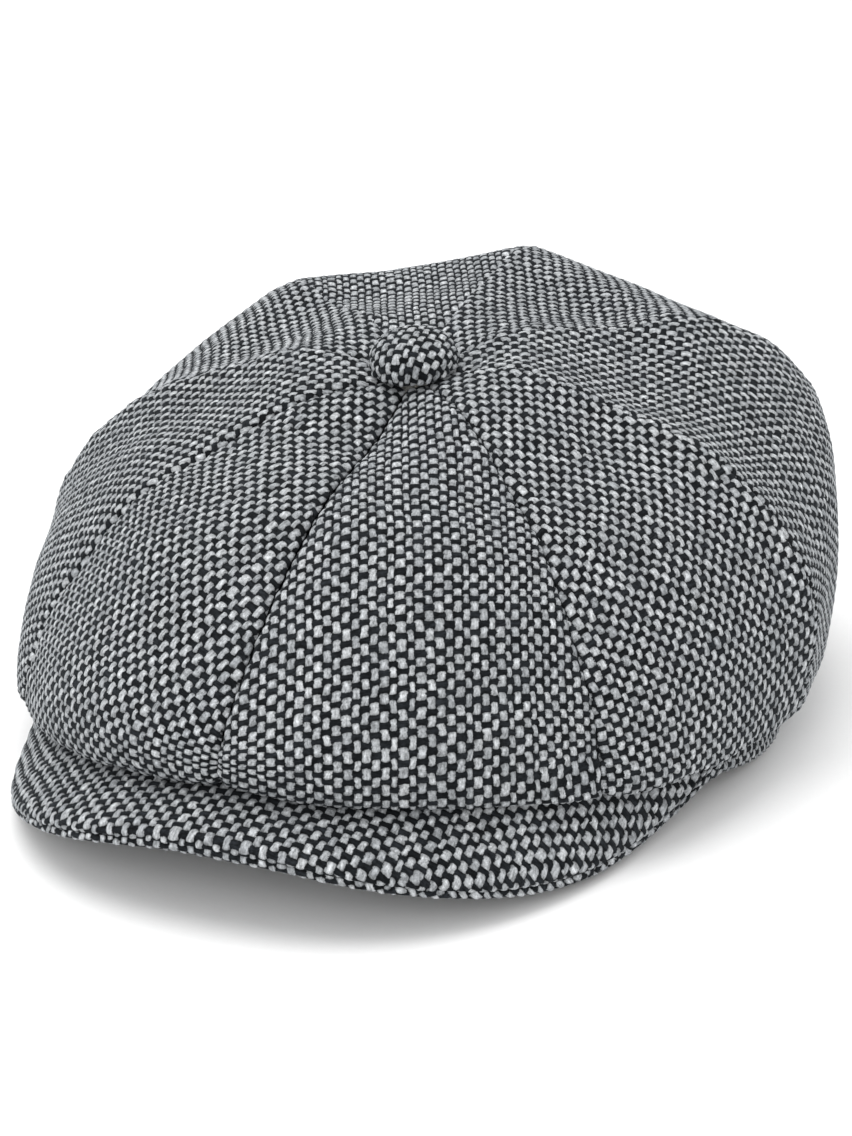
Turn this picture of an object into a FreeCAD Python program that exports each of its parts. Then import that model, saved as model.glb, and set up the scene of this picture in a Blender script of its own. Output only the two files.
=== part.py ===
"""Eight-panel newsboy cap, in millimetres.

Frame: +Z is up and the front of the cap points along -Y. The origin is on the surface that the
cap rests on, straight below the crown button. +X is the wearer's left.

The crown is eight gores sewn along seams 45 degrees apart. Every gore, lining gore and band
follows a profile in the vertical plane through the crown axis, so neighbours meet on one plane.
"""
import FreeCAD, Part
import math
import os

OUT = "parts"

# ---- crown ---------------------------------------------------------------------------------
GORES = 8
GORE_ANGLE = 360.0 / GORES
SEAM_SLIT = 0.12            # degrees left open on each side of a crown seam
CLOTH = 1.7                 # thickness of the brushed tweed
# Seam profiles from the button to the fold above the band: (radius, height).
SEAM_FRONT = [(3, 89.9), (28, 81), (54, 76), (80, 66), (102, 51), (114, 37), (112, 29.5)]
SEAM_FRONT_QUARTER = [(3, 90.2), (28, 88), (54, 77), (73, 68), (88, 52), (98, 36), (102, 20)]
SEAM_SIDE = [(3, 90.9), (28, 95), (54, 87), (74, 79), (93, 64), (104, 43), (101, 16)]
SEAM_BACK_QUARTER = [(3, 91.8), (28, 99), (56, 97), (79, 98), (108, 84), (120, 63), (117, 21)]
SEAM_BACK = [(3, 92.2), (28, 100), (56, 104), (78, 107), (102, 98), (127.9, 68), (119, 22)]
SEAMS = [SEAM_FRONT, SEAM_FRONT_QUARTER, SEAM_SIDE, SEAM_BACK_QUARTER, SEAM_BACK]
# How far the middle of a gore stands out of (or sinks below) the line between its two seams.
FULLNESS_FRONT = 2.5
FULLNESS_SIDE = -5.5
FULLNESS_BACK = -4.8
FULLNESS_ALONG = [0, 0.35, 0.8, 1, 1, 1, 0.5, 0]
CLOTH_ALONG = [1, 1, 1, 1, 1, 1, 0.55, 0.55]    # the cloth is pressed thin where it turns under
CROWN_SEAM_GAP = 0.6        # the crown's lower edge stands clear of the band by this much
CROWN_SEAM_DROP = 3.2       # and over the peak it is sewn this much lower on the band
GORE_NAMES = ["front_left", "side_front_left", "side_back_left", "back_left",
              "back_right", "side_back_right", "side_front_right", "front_right"]

# ---- bands: ovals around the head ------------------------------------------------------------
OVAL_CENTRE_Y = 5.0
BAND_HALF_WIDTH = 92.5
BAND_HALF_LENGTH = 105.0
BAND_HEIGHT = 8.0           # narrow tweed band below the crown
INTERLINING = 0.8
INTERLINING_HEIGHT = 20.0
SWEATBAND = 1.3
SWEATBAND_HEIGHT = 22.0
LAYER_GAP = 0.25
INTERLINING_INSET = CLOTH + LAYER_GAP
SWEATBAND_INSET = INTERLINING_INSET + INTERLINING + LAYER_GAP
BACK_SEAM = 0.3             # degrees left open where a band's ends meet at the centre back
INTERLINING_LIFT = 1.5      # heights of the inner layers' lower edges above the band's
SWEATBAND_LIFT = 0.5
FLAT_TRIM = 0.5             # cut from the band's lower edge, which leaves a flat face to rest on
TRIM_BLOCK = 400.0          # side of the block that trims it
FRONT_RISE = 24.4           # the curved peak lifts the front of the band by this much
RISE_HALF_ANGLE = 95.0
RISE_POWER = 1.2

# ---- lining ----------------------------------------------------------------------------------
LINING = 0.5
LINING_SEAM_LIFT = 1.2      # the lining's lower edge lies above the sweatband by this much
LINING_SEAM_INSET = 2.4     # and inside the band's outer face by this much
# Seam profiles of the lining, which hangs inside the crown: (radius, height).
LINING_FRONT = [(1.5, 85), (28, 74), (54, 69), (76, 60), (90, 52.5)]
LINING_FRONT_QUARTER = [(1.5, 85), (28, 80), (54, 69), (69, 60), (83, 48)]
LINING_SIDE = [(1.5, 85), (28, 86), (54, 78), (71, 70), (87, 56)]
LINING_BACK_QUARTER = [(1.5, 85), (28, 89), (56, 87), (77, 86), (99, 73)]
LINING_BACK = [(1.5, 85), (28, 91), (56, 94), (76, 95), (98, 85)]
LININGS = [LINING_FRONT, LINING_FRONT_QUARTER, LINING_SIDE, LINING_BACK_QUARTER, LINING_BACK]

# ---- peak: layers ruled from the band's lower edge to the rim ---------------------------------
PEAK_HALF_WIDTH = 87.0
PEAK_TIP_Y = -128.5
PEAK_CENTRE_Y = 23.3
PEAK_POWER = 0.8            # superellipse exponent of the peak's rim
PEAK_TIP_Z = 17.8           # underside of the peak at its tip
PEAK_SLOPE = 0.2            # rise of the rim towards the back, per mm
PEAK_DROOP = 0.005          # fall of the rim towards the sides, per mm squared
PEAK_COVER = 1.5
PEAK_BOARD = 1.6
PEAK_GAP = 0.1
PEAK_SEAM_GAP = 0.5         # between the band's face and the peak's root
RIM_END = 74.0              # end of the rim, in degrees of the superellipse
ROOT_END = 71.0             # end of the root, in degrees of the band's oval
END_SHARE = 0.8             # beyond this share of its half width the rim turns back to the band
END_FLARE = 4.6             # and runs outwards and upwards to meet it
END_LIFT = 8.0
LIFT_FROM_Y = -62.0
LIFT_RUN = 34.0
LIFT_POWER = 1.6
BOARD_SIDE_INSET = 0.1      # the board stops short of the ends, root and rim by these shares
BOARD_ROOT_INSET = 0.04
BOARD_RIM_INSET = 0.08

# ---- button ----------------------------------------------------------------------------------
BUTTON_TILT = 16.0          # the button leans forward with the slope of the crown
BUTTON_RADIUS = 11.0
BUTTON_HEIGHT = 7.6
BUTTON_COVER = 1.3
BUTTON_SHELL = 0.6
BUTTON_BASE = FreeCAD.Vector(0, -0.6, 93.4)
BACK_PLATE = 0.8
SHANK_RADIUS = 1.2
WASHER_RADIUS = 5.0
WASHER = 0.8
WASHER_DEPTH = 6.3          # from the button's base down to the washer's top

# ---- label -----------------------------------------------------------------------------------
LABEL_HALF_WIDTH = 18.0
LABEL_HEIGHT = 14.0
LABEL_LIFT = 4.0
LABEL = 0.4


def curve_value(values, position):
    """Smooth curve through evenly numbered values: position 2.5 is half-way from value 2 to 3."""
    last = len(values) - 1
    index = min(int(position), last - 1)
    part = position - index
    before = values[index - 1] if index > 0 else 2 * values[0] - values[1]
    after = values[index + 2] if index + 2 <= last else 2 * values[last] - values[last - 1]
    return blend_four(before, values[index], values[index + 1], after, part)


def blend_four(a, b, c, d, part):
    """Catmull-Rom value between b and c."""
    linear = c - a
    square = 2 * a - 5 * b + 4 * c - d
    cube = 3 * b - a - 3 * c + d
    return 0.5 * (2 * b + linear * part + square * part ** 2 + cube * part ** 3)


def around(stations, angle):
    """Value at any angle from five values at 0, 45 ... 180 degrees, mirrored left to right."""
    ring = stations + stations[-2:0:-1]
    place = (angle % 360.0) / GORE_ANGLE
    index = int(place)
    near = [ring[(index + step) % GORES] for step in (-1, 0, 1, 2)]
    return blend_four(near[0], near[1], near[2], near[3], place - index)


def band_angle(angle):
    """The band oval's own parameter angle, in degrees, seen at a polar angle from the crown axis."""
    radius = band_radius(angle)
    x = radius * math.sin(math.radians(angle))
    y = -radius * math.cos(math.radians(angle))
    return math.degrees(math.atan2(x / BAND_HALF_WIDTH, (OVAL_CENTRE_Y - y) / BAND_HALF_LENGTH))


def band_radius(angle):
    """Distance from the crown axis to the band's outer face at a polar angle."""
    sine = math.sin(math.radians(angle))
    cosine = math.cos(math.radians(angle))
    a = (sine / BAND_HALF_WIDTH) ** 2 + (cosine / BAND_HALF_LENGTH) ** 2
    b = 2 * cosine * OVAL_CENTRE_Y / BAND_HALF_LENGTH ** 2
    c = (OVAL_CENTRE_Y / BAND_HALF_LENGTH) ** 2 - 1
    return (-b + math.sqrt(b * b - 4 * a * c)) / (2 * a)


def band_bottom(oval_angle):
    """Height of the band's lower edge: it rises over the root of the curved peak."""
    turn = abs((oval_angle + 180.0) % 360.0 - 180.0)
    if turn >= RISE_HALF_ANGLE:
        return 0.0
    return FRONT_RISE * math.cos(math.radians(turn * 90.0 / RISE_HALF_ANGLE)) ** RISE_POWER


def profile_controls(stations, angle):
    """Control points of a profile at a polar angle, from its seam profiles."""
    controls = []
    for place in range(len(stations[0])):
        radius = around([seam[place][0] for seam in stations], angle)
        height = around([seam[place][1] for seam in stations], angle)
        controls.append((radius, height))
    return controls


def crown_controls(angle):
    """The crown's profile ends on the upper edge of the narrow band."""
    rise = band_bottom(band_angle(angle))
    join_height = rise + BAND_HEIGHT + CROWN_SEAM_GAP - CROWN_SEAM_DROP * rise / FRONT_RISE
    return profile_controls(SEAMS, angle) + [(band_radius(angle) + CROWN_SEAM_GAP, join_height)]


def fullness(angle):
    """Fullness of the gore at a polar angle: zero on the seams."""
    across = (angle % GORE_ANGLE) / GORE_ANGLE
    shape = 1 - abs(2 * across - 1) ** 2.2
    forward = math.cos(math.radians(angle))
    if forward > 0:
        amount = FULLNESS_SIDE + (FULLNESS_FRONT - FULLNESS_SIDE) * forward
    else:
        amount = FULLNESS_SIDE - (FULLNESS_BACK - FULLNESS_SIDE) * forward
    return amount * shape


def along(values, position):
    """Straight-line interpolation in a list of evenly numbered values."""
    index = min(int(position), len(values) - 2)
    part = position - index
    return values[index] * (1 - part) + values[index + 1] * part


def profile_frame(controls, position):
    """Point and outward normal of a profile, as (radius, height) pairs."""
    radii = [point[0] for point in controls]
    heights = [point[1] for point in controls]
    step = 0.02
    low = max(position - step, 0.0)
    high = min(position + step, len(controls) - 1.0)
    run = curve_value(radii, high) - curve_value(radii, low)
    rise = curve_value(heights, high) - curve_value(heights, low)
    length = math.hypot(run, rise)
    point = (curve_value(radii, position), curve_value(heights, position))
    return point, (-rise / length, run / length)


def polar(radius, height, angle):
    turn = math.radians(angle)
    return FreeCAD.Vector(radius * math.sin(turn), -radius * math.cos(turn), height)


def crown_point(angle, position, depth):
    """Point of the crown at a depth below its outer face."""
    controls = crown_controls(angle)
    point, normal = profile_frame(controls, position)
    stand_out = fullness(angle) * curve_value(FULLNESS_ALONG, position)
    stand_out -= depth * along(CLOTH_ALONG, position)
    return polar(point[0] + normal[0] * stand_out, point[1] + normal[1] * stand_out, angle)


def lining_controls(angle):
    """The lining's profile ends on the upper edge of the sweatband."""
    join_height = band_bottom(band_angle(angle)) + SWEATBAND_HEIGHT + LINING_SEAM_LIFT
    return profile_controls(LININGS, angle) + [(band_radius(angle) - LINING_SEAM_INSET, join_height)]


def lining_point(angle, position, depth):
    point, normal = profile_frame(lining_controls(angle), position)
    return polar(point[0] - normal[0] * depth, point[1] - normal[1] * depth, angle)


def face_through(grid):
    """Spline face through a grid of points."""
    surface = Part.BSplineSurface()
    surface.interpolate(grid)
    return surface


def closed_solid(outer, inner):
    """Closed solid between two grids of points of the same size."""
    outer_surface = face_through(outer)
    inner_surface = face_through(inner)
    faces = [outer_surface.toShape(), inner_surface.toShape()]
    for end in (0, 1):
        faces.append(side_wall(outer_surface, inner_surface, end, True))
        faces.append(side_wall(outer_surface, inner_surface, end, False))
    return solid_from(faces)


def solid_from(faces):
    """Sew faces that share their edges into a solid."""
    shell = Part.makeShell(faces)
    shell.sewShape()
    solid = Part.Solid(shell)
    if solid.Volume < 0:
        solid.reverse()
    return solid


def side_wall(outer_surface, inner_surface, end, first_direction):
    """Ruled face that joins two spline faces along one of their edges."""
    edges = []
    for surface in (outer_surface, inner_surface):
        u_low, u_high, v_low, v_high = surface.bounds()
        if first_direction:
            edges.append(surface.uIso((u_low, u_high)[end]).toShape())
        else:
            edges.append(surface.vIso((v_low, v_high)[end]).toShape())
    return Part.makeRuledSurface(edges[0], edges[1], 1)


def spread(low, high, count):
    return [low + (high - low) * step / (count - 1.0) for step in range(count)]


def gore(point_at, number, last_position, thickness):
    """One gore of the crown or the lining, between its two seams."""
    start = number * GORE_ANGLE + SEAM_SLIT
    end = (number + 1) * GORE_ANGLE - SEAM_SLIT
    angles = spread(start, end, 9)
    positions = spread(0.0, last_position, 31)
    outer = [[point_at(angle, place, 0.0) for place in positions] for angle in angles]
    inner = [[point_at(angle, place, thickness) for place in positions] for angle in angles]
    return closed_solid(outer, inner)


def oval_point(oval_angle, inset, height):
    """Point on an oval parallel to the band's outer face."""
    turn = math.radians(oval_angle)
    x = (BAND_HALF_WIDTH - inset) * math.sin(turn)
    y = OVAL_CENTRE_Y - (BAND_HALF_LENGTH - inset) * math.cos(turn)
    return FreeCAD.Vector(x, y, height)


def oval_edge(angles, inset, lift):
    """Smooth edge along the oval, at a height above the band's lower edge."""
    line = Part.BSplineCurve()
    line.interpolate([oval_point(angle, inset, band_bottom(angle) + lift) for angle in angles])
    return line.toShape()


def oval_strip(angles, inset, thickness, lift, height):
    """Closed strip that follows the oval, with straight walls between its four long edges."""
    low_outer, low_inner = [oval_edge(angles, inset + depth, lift) for depth in (0.0, thickness)]
    high_outer, high_inner = [oval_edge(angles, inset + depth, lift + height) for depth in (0.0, thickness)]
    pairs = [(low_outer, high_outer), (low_inner, high_inner),
             (low_outer, low_inner), (high_outer, high_inner)]
    faces = [Part.makeRuledSurface(first, second, 1) for first, second in pairs]
    for end in (0, -1):
        corners = [edge.Vertexes[end].Point for edge in (low_outer, high_outer, high_inner, low_inner)]
        faces.append(Part.Face(Part.makePolygon(corners + corners[:1])))
    return solid_from(faces)


def oval_band(inset, thickness, lift, height):
    """A strip around the head whose ends meet at the centre back."""
    angles = spread(-180.0 + BACK_SEAM, 180.0 - BACK_SEAM, 73)
    return oval_strip(angles, inset, thickness, lift, height)


def peak_root(across):
    """Underside of the peak where it is sewn to the band: across runs from -1 to 1."""
    turn = across * ROOT_END
    return oval_point(turn, -PEAK_SEAM_GAP, band_bottom(turn))


def peak_rim(across):
    """Underside of the peak at its rim."""
    turn = math.radians(across * RIM_END)
    side = math.copysign(abs(math.sin(turn)) ** PEAK_POWER, across)
    end = max(abs(across) - END_SHARE, 0.0) / (1 - END_SHARE)
    x = PEAK_HALF_WIDTH * side + math.copysign(END_FLARE * end ** 2, across)
    y = PEAK_CENTRE_Y - (PEAK_CENTRE_Y - PEAK_TIP_Y) * math.cos(turn) ** PEAK_POWER
    lift = END_LIFT * (max(y - LIFT_FROM_Y, 0.0) / LIFT_RUN) ** LIFT_POWER
    return FreeCAD.Vector(x, y, PEAK_TIP_Z - PEAK_DROOP * x * x + PEAK_SLOPE * (y - PEAK_TIP_Y) + lift)


def peak_point(across, outward, height):
    """Point of the peak at a height above its underside: outward runs from 0 at the root to 1."""
    root = peak_root(across)
    return root + (peak_rim(across) - root) * outward + FreeCAD.Vector(0, 0, height)


def peak_plate(base, thickness, side_inset=0.0, root_inset=0.0, rim_inset=0.0):
    """One layer of the peak, at a height above the peak's underside."""
    across = spread(side_inset - 1.0, 1.0 - side_inset, 61)
    outward = spread(root_inset, 1.0 - rim_inset, 7)
    lower = [[peak_point(a, o, base) for o in outward] for a in across]
    upper = [[peak_point(a, o, base + thickness) for o in outward] for a in across]
    return closed_solid(upper, lower)


def button_frame(shape):
    """Lean a shape built upright at the origin and set it on the crown."""
    shape.rotate(FreeCAD.Vector(0, 0, 0), FreeCAD.Vector(1, 0, 0), BUTTON_TILT)
    shape.translate(BUTTON_BASE)
    return shape


def turned(outline):
    """Solid of revolution about Z from a closed outline of (radius, height) points."""
    points = [FreeCAD.Vector(radius, 0, height) for radius, height in outline]
    face = Part.Face(Part.makePolygon(points + points[:1]))
    return face.revolve(FreeCAD.Vector(0, 0, 0), FreeCAD.Vector(0, 0, 1), 360)


def dome_outline(radius, height, steps=14):
    """Quarter outline of a button dome, from its rim to its top."""
    outline = []
    for turn in spread(0.0, 90.0, steps):
        across = radius * math.cos(math.radians(turn)) ** 0.7
        outline.append((max(across, 0.0), height * math.sin(math.radians(turn)) ** 0.9))
    outline[-1] = (0.0, height)
    return outline


def dome_shell(radius, height, thickness):
    outer = dome_outline(radius, height)
    inner = dome_outline(radius - thickness, height - thickness)
    return button_frame(turned(outer + inner[::-1]))


def make_button():
    """Cloth cover over a metal dome, closed by a back plate with a shank and a washer inside."""
    gap = 0.1
    inside = BUTTON_COVER + gap
    cover = dome_shell(BUTTON_RADIUS, BUTTON_HEIGHT, BUTTON_COVER)
    shell = dome_shell(BUTTON_RADIUS - inside, BUTTON_HEIGHT - inside, BUTTON_SHELL)
    plate_radius = BUTTON_RADIUS - inside - BUTTON_SHELL - 2 * gap
    plate = button_frame(Part.makeCylinder(plate_radius, BACK_PLATE))
    washer_top = -WASHER_DEPTH
    shank = Part.makeCylinder(SHANK_RADIUS, WASHER_DEPTH + WASHER, FreeCAD.Vector(0, 0, washer_top - WASHER))
    ring = Part.makeCylinder(WASHER_RADIUS, WASHER, FreeCAD.Vector(0, 0, washer_top - WASHER))
    hole = Part.makeCylinder(SHANK_RADIUS, WASHER, FreeCAD.Vector(0, 0, washer_top - WASHER))
    washer = button_frame(ring.cut(hole))
    return {"button_cover": cover, "button_shell": shell, "button_back_plate": plate,
            "button_shank": button_frame(shank), "button_washer": washer}


def make_peak():
    board_base = PEAK_COVER + PEAK_GAP
    top_base = board_base + PEAK_BOARD + PEAK_GAP
    board = peak_plate(board_base, PEAK_BOARD, BOARD_SIDE_INSET, BOARD_ROOT_INSET, BOARD_RIM_INSET)
    return {"peak_under_cover": peak_plate(0.0, PEAK_COVER),
            "peak_board": board,
            "peak_top_cover": peak_plate(top_base, PEAK_COVER)}


def make_bands():
    corner = FreeCAD.Vector(-TRIM_BLOCK / 2, -TRIM_BLOCK / 2, -TRIM_BLOCK)
    below = Part.makeBox(TRIM_BLOCK, TRIM_BLOCK, TRIM_BLOCK, corner)
    outer = oval_band(0.0, CLOTH, -FLAT_TRIM, BAND_HEIGHT + FLAT_TRIM).cut(below)
    interlining = oval_band(INTERLINING_INSET, INTERLINING, INTERLINING_LIFT, INTERLINING_HEIGHT)
    sweatband = oval_band(SWEATBAND_INSET, SWEATBAND, SWEATBAND_LIFT, SWEATBAND_HEIGHT)
    return {"outer_band": outer, "sweatband_interlining": interlining, "sweatband": sweatband}


def make_label():
    """Blank woven label sewn on the sweatband at the centre back."""
    inset = SWEATBAND_INSET + SWEATBAND + LAYER_GAP
    half_turn = math.degrees(LABEL_HALF_WIDTH / BAND_HALF_WIDTH)
    angles = spread(180.0 - half_turn, 180.0 + half_turn, 9)
    return {"blank_label": oval_strip(angles, inset, LABEL, LABEL_LIFT, LABEL_HEIGHT)}


def make_crown():
    nodes = {}
    for number, name in enumerate(GORE_NAMES):
        nodes["crown_panel_" + name] = gore(crown_point, number, len(SEAM_FRONT), CLOTH)
        nodes["lining_panel_" + name] = gore(lining_point, number, len(LINING_FRONT), LINING)
    return nodes


def main():
    os.makedirs(OUT, exist_ok=True)
    nodes = {}
    for group in (make_crown(), make_button(), make_bands(), make_peak(), make_label()):
        nodes.update(group)
    for name, shape in nodes.items():
        if not (shape.isValid() and shape.isClosed() and shape.Volume > 0):
            raise RuntimeError(name + " is not a closed solid")
        shape.exportStep(os.path.join(OUT, name + ".step"))
        box = shape.BoundBox
        print("%-34s %9.0f mm3  z %6.1f to %6.1f" % (name, shape.Volume, box.ZMin, box.ZMax))


main()
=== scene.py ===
"""Blender scene of the eight-panel newsboy cap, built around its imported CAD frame.

Shapes are worked out in millimetres, in the CAD frame: +Z is up, the front points along -Y and
+X is the wearer's left. Meshes are scaled to metres when they are made.

Every tweed piece is a patch cut from flat cloth: its flat outline is filled with a grid that
follows the yarns, the patch is laid on its surface, and the yarns are raised as real relief. Its
"weave" UV map counts yarns, so that the material colours the same floats that the mesh raises.
"""
import math
import bpy
import numpy as np
from mathutils import Euler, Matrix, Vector
from mathutils.geometry import delaunay_2d_cdt


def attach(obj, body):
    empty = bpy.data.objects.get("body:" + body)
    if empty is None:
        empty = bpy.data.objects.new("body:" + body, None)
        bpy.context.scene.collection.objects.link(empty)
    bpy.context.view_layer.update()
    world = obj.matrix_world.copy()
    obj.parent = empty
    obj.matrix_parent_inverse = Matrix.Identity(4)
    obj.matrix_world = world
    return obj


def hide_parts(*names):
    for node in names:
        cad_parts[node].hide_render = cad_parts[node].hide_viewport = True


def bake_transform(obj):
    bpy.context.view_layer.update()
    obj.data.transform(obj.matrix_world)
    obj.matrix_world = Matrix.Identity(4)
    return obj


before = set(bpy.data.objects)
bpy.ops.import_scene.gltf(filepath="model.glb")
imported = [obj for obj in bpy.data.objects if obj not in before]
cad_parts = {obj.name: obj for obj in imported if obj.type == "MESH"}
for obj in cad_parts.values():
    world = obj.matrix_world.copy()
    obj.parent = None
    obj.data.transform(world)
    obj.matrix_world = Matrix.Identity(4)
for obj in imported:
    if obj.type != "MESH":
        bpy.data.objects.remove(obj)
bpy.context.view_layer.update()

MM = 0.001

# ---- driving dimensions, as in the CAD source, in millimetres and degrees ----
GORES = 8
GORE_ANGLE = 45.0
GORE_NAMES = ["front_left", "side_front_left", "side_back_left", "back_left",
              "back_right", "side_back_right", "side_front_right", "front_right"]
# (radius, height) down each seam from the button, for the seams from the front one to the back one
CROWN_SEAMS = np.array([
    [(3, 89.9), (28, 81), (54, 76), (80, 66), (102.5, 51), (117, 37.5), (115, 28.2)],
    [(3, 90.2), (28, 88), (54, 77), (73, 68), (88, 52), (99, 36), (103, 19.7)],
    [(3, 90.9), (28, 95), (54, 87), (74, 79), (93, 64), (104, 43), (101, 16)],
    [(3, 91.8), (28, 99), (56, 97), (79, 98), (108, 84), (120, 63), (117, 21)],
    [(3, 92.2), (28, 100), (56, 104), (78, 107), (102, 98), (127.9, 68), (119, 22)]])
LINING_SEAMS = np.array([
    [(1.5, 85), (28, 74), (54, 69), (76, 60), (90, 52.5)],
    [(1.5, 85), (28, 80), (54, 69), (69, 60), (83, 48)],
    [(1.5, 85), (28, 86), (54, 78), (71, 70), (87, 56)],
    [(1.5, 85), (28, 89), (56, 87), (77, 86), (99, 73)],
    [(1.5, 85), (28, 91), (56, 94), (76, 95), (98, 85)]])
FULLNESS_FRONT = 2.5
FULLNESS_SIDE = -5.5
FULLNESS_BACK = -4.8
FULLNESS_ALONG = [0, 0.35, 0.8, 1, 1, 1, 0.5, 0]
CROWN_END = 7.0             # profile position of the crown's join with the band
PROFILE_STEP = 26.0         # rough distance from one profile position to the next
CROWN_SEAM_GAP = 0.6
CROWN_SEAM_DROP = 3.2
OVAL_CENTRE_Y = 5.0
BAND_HALF_WIDTH = 92.5
BAND_HALF_LENGTH = 105.0
BAND_HEIGHT = 8.0
FRONT_RISE = 24.4
RISE_HALF_ANGLE = 95.0
RISE_POWER = 1.2
INTERLINING_INSET = 1.95
INTERLINING_HEIGHT = 20.0
SWEATBAND_INSET = 3.0
SWEATBAND = 1.3
SWEATBAND_HEIGHT = 22.0
PEAK_HALF_WIDTH = 87.0
PEAK_TIP_Y = -128.5
PEAK_CENTRE_Y = 23.3
PEAK_POWER = 0.8
PEAK_TIP_Z = 17.8
PEAK_SLOPE = 0.2
PEAK_DROOP = 0.005
PEAK_SEAM_GAP = 0.5
PEAK_THICKNESS = 4.8
RIM_END = 74.0
ROOT_END = 71.0
END_SHARE = 0.8
END_FLARE = 4.6
END_LIFT = 8.0
LIFT_FROM_Y = -62.0
LIFT_RUN = 34.0
LIFT_POWER = 1.6
SOFT_CORNER_AT = 1.05       # the wearer's left end of the peak has softened upwards a little
SOFT_CORNER_WIDTH = 0.22
SOFT_CORNER_LIFT = 6.0
BUTTON_TILT = 16.0
BUTTON_RADIUS = 11.0
BUTTON_HEIGHT = 7.6
BUTTON_BASE = np.array([0.0, -0.6, 93.4])

# ---- cloth ----
YARN_PITCH = 2.05           # from one yarn to the next, both ways
GRID_PER_YARN = 4           # mesh points per yarn
TWEED_THICKNESS = 1.3
LIGHT_RISE = 0.30           # relief of the light warp's floats, in millimetres, and its shape in yarns
LIGHT_CROWN = 0.36
LIGHT_HALF_WIDTH = 0.455
LIGHT_REACH = 0.62
LIGHT_UNEVEN = (0.42, 0.30, 0.28)   # spread of the floats' slant, width and length
DARK_RISE = 0.10            # relief of the dark weft's floats
DARK_CROWN = 0.26
DARK_HALF_WIDTH = 0.42
DARK_REACH = 0.90
LIGHT_POWER = 2.6           # how square the floats are across
DARK_POWER = 2.4
RELIEF_FLOOR = -0.30
# uneven steps that give every light float its own scattered numbers
CHANCE_STEPS = (0.7548777, 0.5698403, 0.3141593, 0.8191725, 37.13, 0.6180340)

# ---- how the pieces are made up, in millimetres ----
EDGE_STEP = 0.5             # spacing of the points along a patch's outline
SEAM_GAP = 0.06             # half of the gap between neighbouring gores
SEAM_DEPTH = 0.95           # how far the cloth turns down into a seam
SEAM_ROLL = 2.0             # width of that turn
GORE_START = 0.12           # first profile position of the gores, under the button
RIM_RADIUS = PEAK_THICKNESS / 2     # roll of the covers round the rim
RIM_TURN = math.pi / 2 * RIM_RADIUS
RIM_EXTRA = RIM_TURN - RIM_RADIUS
RIM_GROOVE = 0.7            # depth of the groove between the peak's covers
RIM_PROUD = 0.9             # the cloth bulges past the CAD rim by this much
BAND_ROLL = 0.85            # radius of the band's folded lower edge
BAND_INSIDE = 4.0           # cloth turned up inside the band
BAND_TOP = 9.4              # the cloth goes on up behind the crown's edge
BAND_CLEAR = 0.32           # the fold's height over the resting plane
BUTTON_TUCK = 2.6           # cloth gathered under the button's rim
BUTTON_PLEATS = 13
BOARD = 1.6                 # the peak's stiffener
BOARD_UNDER = 1.5           # its height over the under cover's face
BOARD_INSET = 3.0           # its distance from the root and the rim
BOARD_END = 0.84            # how far it runs towards the peak's ends
LINING = 0.5                # thickness of the satin
LINING_LIFT = 1.2           # the lining's lower seam, above the sweatband and in from the band
LINING_INSET = 2.4
LINING_GAP = 0.12           # degrees between a lining gore and its seam line
INTERLINING = 0.8
INTERLINING_LIFT = 1.5      # height of the layer's lower edge over the band's
SWEATBAND_LIFT = 0.5
STITCH_LIFT = 3.2           # height of the stitched row over the band's lower edge
LABEL_HALF_LENGTH = 18.0
LABEL_HEIGHT = 14.0
LABEL_LIFT = 4.0            # height of its lower edge over the band's
LABEL = 0.4
LABEL_INSET = SWEATBAND_INSET + SWEATBAND + 0.25
LABEL_STITCH_MARGIN = 1.0
LABEL_STITCH_TURN = 0.7     # the same margin at its ends, in degrees

# ---- camera and lights, in metres, degrees and watts ----
CAMERA_PLACE = Vector((0.2103, -0.5419, 0.2489))
CAMERA_AZIMUTH = 20.94
CAMERA_ELEVATION = 19.84
CAMERA_LENS = 76.84         # on a sensor whose long side is 36 mm
FLOOR_REACH = 6000.0        # millimetres from the middle of the floor to its sides
WORLD_BRIGHTNESS = 1.06
SOFTBOXES = [               # name, place, size and power; both face the middle of the cap
    ("overhead_softbox", (-0.25, -0.15, 1.3), 1.1, 8.5),
    ("front_softbox", (0.35, -1.5, 0.75), 1.0, 6.5)]
CAP_MIDDLE = (0, 0, 0.05)


# ==== curves and surfaces ====

def columns(*values):
    return np.stack(values, axis=1)


def run_along(chain):
    """Distance along a chain of points, at each point."""
    return np.concatenate([[0], np.cumsum(np.linalg.norm(np.diff(chain, axis=0), axis=1))])


def at_places(places, run, chain):
    """Points of a chain at places along its run."""
    return columns(*(np.interp(places, run, axis) for axis in chain.T))


def turning(a, b):
    """How far b points to the left of a, times their lengths."""
    return a[:, 0] * b[:, 1] - a[:, 1] * b[:, 0]


def rectangle(bottom, side, top):
    """Places across and along the outline of a rectangle; the top's places run backwards."""
    blank = np.ones(len(side) - 2)
    across = np.concatenate([bottom, blank * bottom[-1], top, blank * bottom[0]])
    along = np.concatenate([np.full(len(bottom), side[0]), side[1:-1], np.full(len(top), side[-1]),
                            side[::-1][1:-1]])
    return across, along


def crossed(a, b, indexing="xy"):
    """Every pairing of two lists of values, as two flat arrays."""
    return (grid.ravel() for grid in np.meshgrid(a, b, indexing=indexing))


def unit(vectors):
    return vectors / np.maximum(np.linalg.norm(vectors, axis=1, keepdims=True), 1e-9)


def blend_four(a, b, c, d, part):
    """Catmull-Rom value between b and c, and its slope."""
    square = 2 * a - 5 * b + 4 * c - d
    cube = 3 * b - a - 3 * c + d
    value = 0.5 * (2 * b + (c - a) * part + square * part ** 2 + cube * part ** 3)
    slope = 0.5 * ((c - a) + 2 * square * part + 3 * cube * part ** 2)
    return value, slope


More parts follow.
